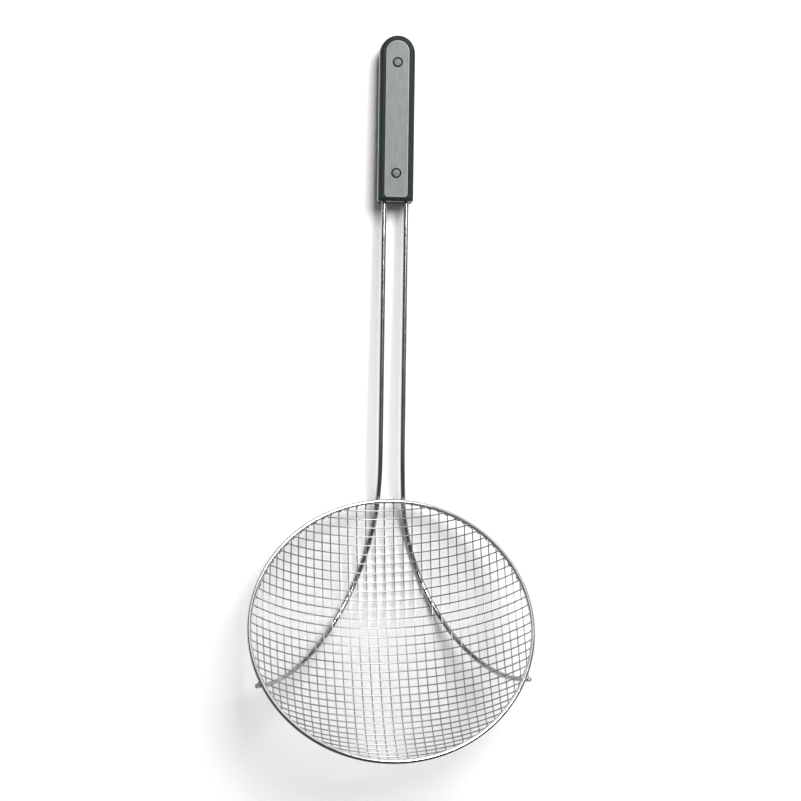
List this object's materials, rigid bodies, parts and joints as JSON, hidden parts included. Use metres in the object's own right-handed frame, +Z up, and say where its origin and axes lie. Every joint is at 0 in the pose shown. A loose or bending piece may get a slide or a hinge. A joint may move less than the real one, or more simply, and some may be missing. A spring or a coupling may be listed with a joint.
{
  "type": "wire skimmer",
  "caption": "Long-handled skimmer: a shallow welded-mesh bowl in a round wire rim, carried by two bent rods that end in a riveted grip with steel cover plates.",
  "frame": {"origin": "on the table, under the middle of the tool's bounding box, as it lies on its rods and the end of its grip with the bowl open upwards", "axes": "+Z up from the table, +Y along the tool towards the end of the grip, +X to the right with the grip pointing away"},
  "size_m": [0.2, 0.5048, 0.115],
  "materials": {
    "bright_steel": "bright drawn wire",
    "mesh_steel": "bright fine wire",
    "satin_steel": "fine satin",
    "grip_plastic": "smooth moulded",
    "rivet_steel": "hammered head"
  },
  "bodies": {
    "root": {"rim_hoop": "bright_steel", "mesh_bowl": "mesh_steel", "left_rod": "bright_steel", "right_rod": "bright_steel", "tang": "satin_steel", "front_scale": "grip_plastic", "back_scale": "grip_plastic", "front_plate": "satin_steel", "back_plate": "satin_steel", "upper_rivet": "rivet_steel", "lower_rivet": "rivet_steel"}
  },
  "joints": []
}
